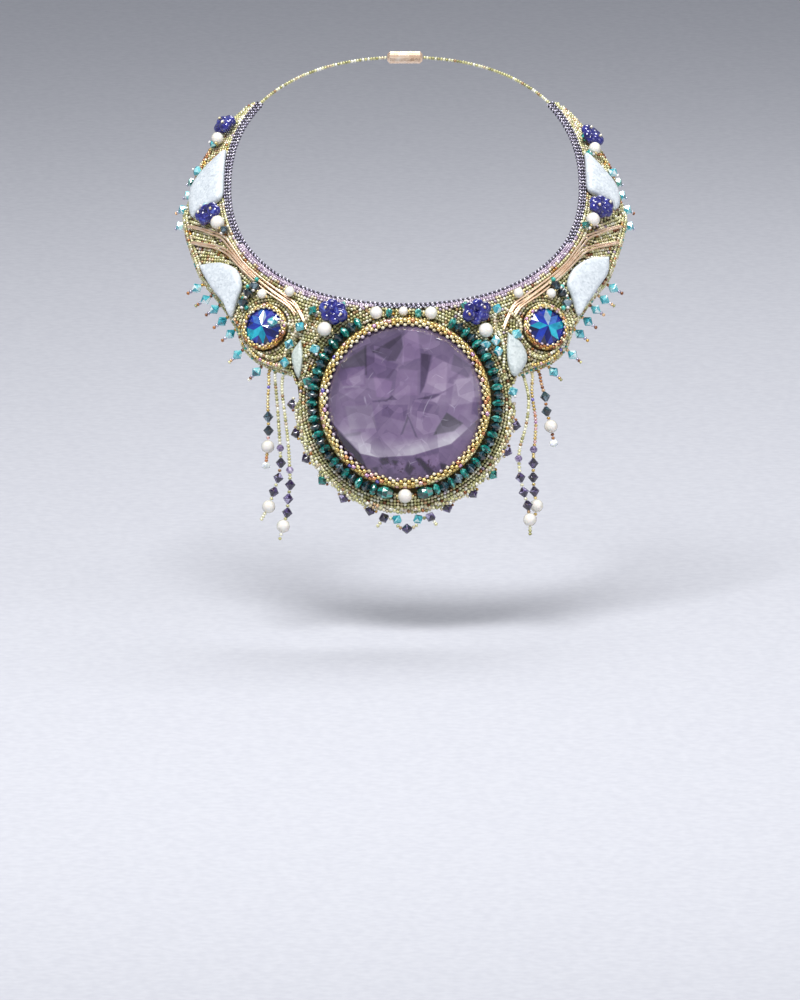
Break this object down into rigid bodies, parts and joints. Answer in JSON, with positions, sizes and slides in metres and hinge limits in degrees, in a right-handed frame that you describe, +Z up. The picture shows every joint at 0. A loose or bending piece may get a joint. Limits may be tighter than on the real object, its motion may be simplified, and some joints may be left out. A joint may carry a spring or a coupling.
{
  "type": "bib necklace",
  "caption": "Bead embroidered bib necklace with a round faceted stone, beaded wings, crystal edging and hanging bead strands.",
  "frame": {"origin": "centre of the neck line, on the axis of the neck that the necklace sits round", "axes": "+Z up along the neck, -Y to the front of the wearer, +X to the viewer's right"},
  "size_m": [0.195, 0.1623, 0.1845],
  "materials": {
    "backing": "dark stiffened backing cloth",
    "olive_seeds": "metallic olive gold glass seed beads",
    "silver_seeds": "lavender silver glass seed beads",
    "gold_beads": "gold plated cylinder beads",
    "gold_wire": "rose gold plated wire",
    "amethyst": "polished milky amethyst",
    "teal_crystal": "cut teal glass",
    "aqua_crystal": "cut aqua glass",
    "dark_crystal": "cut dark purple glass",
    "blue_crystal": "foil backed cut blue glass",
    "white_stone": "white crystalline stone",
    "lapis_glass": "blue violet pressed glass",
    "pearl": "pearl coated crystal"
  },
  "bodies": {
    "root": {"amethyst": "amethyst", "amethyst_bezel": "gold_beads", "back_string_left": "olive_seeds", "back_string_right": "olive_seeds", "bottom_fringe": "dark_crystal", "branch_left": "aqua_crystal", "branch_right": "aqua_crystal", "clasp": "gold_wire", "collar_backing": "backing", "crystal_halo_left": "teal_crystal", "crystal_halo_right": "teal_crystal", "edge_left": "aqua_crystal", "edge_right": "aqua_crystal", "lapis_cluster_inner_left": "lapis_glass", "lapis_cluster_inner_right": "lapis_glass", "lapis_cluster_middle_left": "lapis_glass", "lapis_cluster_middle_right": "lapis_glass", "lapis_cluster_upper_left": "lapis_glass", "lapis_cluster_upper_right": "lapis_glass", "medallion_edge": "dark_crystal", "neck_edge": "silver_seeds", "pearl_bar_left": "pearl", "pearl_bar_middle": "pearl", "pearl_bar_right": "pearl", "pearl_bottom": "pearl", "pearl_inner_left": "pearl", "pearl_inner_right": "pearl", "pearl_middle_left": "pearl", "pearl_middle_right": "pearl", "pearl_upper_left": "pearl", "pearl_upper_right": "pearl", "pearl_wire_inner_left": "pearl", "pearl_wire_inner_right": "pearl", "pearl_wire_outer_left": "pearl", "pearl_wire_outer_right": "pearl", "rivoli_bezel_left": "gold_beads", "rivoli_bezel_right": "gold_beads", "rivoli_left": "blue_crystal", "rivoli_right": "blue_crystal", "seed_field_bib": "olive_seeds", "seed_field_strap_left": "olive_seeds", "seed_field_strap_right": "olive_seeds", "seed_field_wing_left": "olive_seeds", "seed_field_wing_right": "olive_seeds", "strand_1_left": "dark_crystal", "strand_1_right": "dark_crystal", "strand_2_left": "dark_crystal", "strand_2_right": "dark_crystal", "strand_3_left": "dark_crystal", "strand_3_right": "dark_crystal", "white_stone_lower_left": "white_stone", "white_stone_lower_right": "white_stone", "white_stone_middle_left": "white_stone", "white_stone_middle_right": "white_stone", "white_stone_upper_left": "white_stone", "white_stone_upper_right": "white_stone", "wire_inner_left": "gold_wire", "wire_inner_right": "gold_wire", "wire_outer_left": "gold_wire", "wire_outer_right": "gold_wire"}
  },
  "joints": []
}
